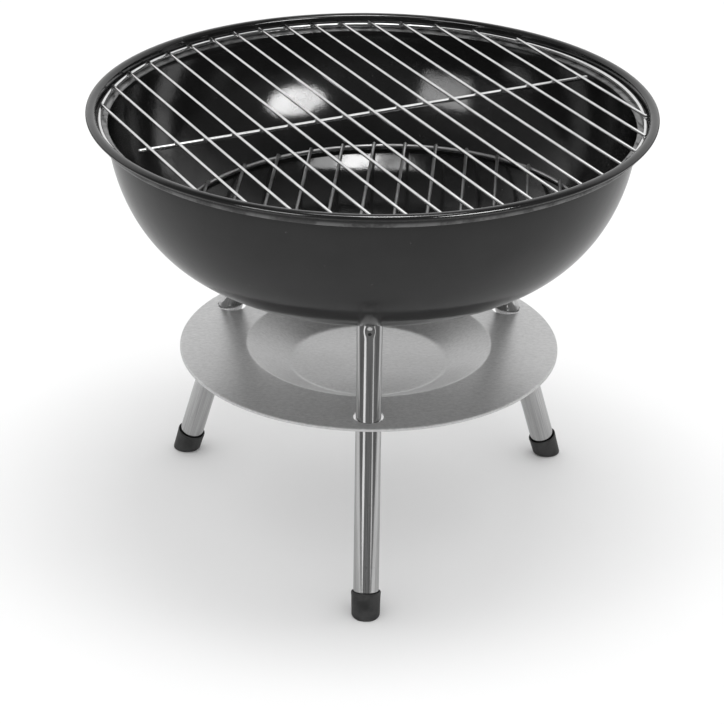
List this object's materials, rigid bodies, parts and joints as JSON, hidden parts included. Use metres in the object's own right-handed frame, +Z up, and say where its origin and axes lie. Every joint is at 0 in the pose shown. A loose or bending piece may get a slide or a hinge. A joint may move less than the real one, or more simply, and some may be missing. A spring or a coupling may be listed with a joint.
{
  "type": "portable tabletop grill",
  "caption": "Round portable charcoal grill: black enamelled fire bowl on splayed tube legs, ash tray below, lift-out wire cooking grate and charcoal grate.",
  "frame": {"origin": "on the floor, on the fire bowl's axis, midway between the three feet", "axes": "+Z up along the bowl's axis; -Y towards the front leg; +X towards the rear right leg's side"},
  "size_m": [0.3598, 0.3598, 0.2855],
  "materials": {
    "black_enamel": "gloss black vitreous enamel on sheet steel",
    "brushed_steel_sheet": "satin rolled sheet",
    "polished_steel_tube": "polished tube",
    "zinc_plated_steel": "zinc plated",
    "black_rubber": "matte",
    "bright_chrome_wire": "bright plated wire",
    "dull_chrome_wire": "dull plated wire"
  },
  "bodies": {
    "stand": {"fire_bowl": "black_enamel", "ash_tray": "brushed_steel_sheet", "leg_tube_front": "polished_steel_tube", "foot_cap_front": "black_rubber", "leg_insert_front": "zinc_plated_steel", "leg_bolt_front": "zinc_plated_steel", "bolt_washer_front": "zinc_plated_steel", "leg_tube_rear_right": "polished_steel_tube", "foot_cap_rear_right": "black_rubber", "leg_insert_rear_right": "zinc_plated_steel", "leg_bolt_rear_right": "zinc_plated_steel", "bolt_washer_rear_right": "zinc_plated_steel", "leg_tube_rear_left": "polished_steel_tube", "foot_cap_rear_left": "black_rubber", "leg_insert_rear_left": "zinc_plated_steel", "leg_bolt_rear_left": "zinc_plated_steel", "bolt_washer_rear_left": "zinc_plated_steel"},
    "cooking_grate": {"cooking_grate_ring": "bright_chrome_wire", "cooking_grate_cross_wire": "bright_chrome_wire", "cooking_grate_wire_01": "bright_chrome_wire", "cooking_grate_wire_02": "bright_chrome_wire", "cooking_grate_wire_03": "bright_chrome_wire", "cooking_grate_wire_04": "bright_chrome_wire", "cooking_grate_wire_05": "bright_chrome_wire", "cooking_grate_wire_06": "bright_chrome_wire", "cooking_grate_wire_07": "bright_chrome_wire", "cooking_grate_wire_08": "bright_chrome_wire", "cooking_grate_wire_09": "bright_chrome_wire", "cooking_grate_wire_10": "bright_chrome_wire", "cooking_grate_wire_11": "bright_chrome_wire", "cooking_grate_wire_12": "bright_chrome_wire", "cooking_grate_wire_13": "bright_chrome_wire", "cooking_grate_wire_14": "bright_chrome_wire", "cooking_grate_wire_15": "bright_chrome_wire", "cooking_grate_wire_16": "bright_chrome_wire", "cooking_grate_wire_17": "bright_chrome_wire"},
    "charcoal_grate": {"charcoal_grate_ring": "dull_chrome_wire", "charcoal_grate_wire_01": "dull_chrome_wire", "charcoal_grate_wire_02": "dull_chrome_wire", "charcoal_grate_wire_03": "dull_chrome_wire", "charcoal_grate_wire_04": "dull_chrome_wire", "charcoal_grate_wire_05": "dull_chrome_wire", "charcoal_grate_wire_06": "dull_chrome_wire", "charcoal_grate_wire_07": "dull_chrome_wire", "charcoal_grate_wire_08": "dull_chrome_wire", "charcoal_grate_wire_09": "dull_chrome_wire", "charcoal_grate_wire_10": "dull_chrome_wire", "charcoal_grate_wire_11": "dull_chrome_wire", "charcoal_grate_wire_12": "dull_chrome_wire"}
  },
  "joints": [
    {"name": "cooking_grate_lift", "type": "slide", "parent": "stand", "child": "cooking_grate", "axis": [0, 0, 1], "range_m": [0, 0.3]},
    {"name": "charcoal_grate_lift", "type": "slide", "parent": "stand", "child": "charcoal_grate", "axis": [0, 0, 1], "range_m": [0, 0.18]}
  ],
  "couplings": [
    {"joint": "charcoal_grate_lift", "follows": "cooking_grate_lift", "ratio": 0.6}
  ]
}
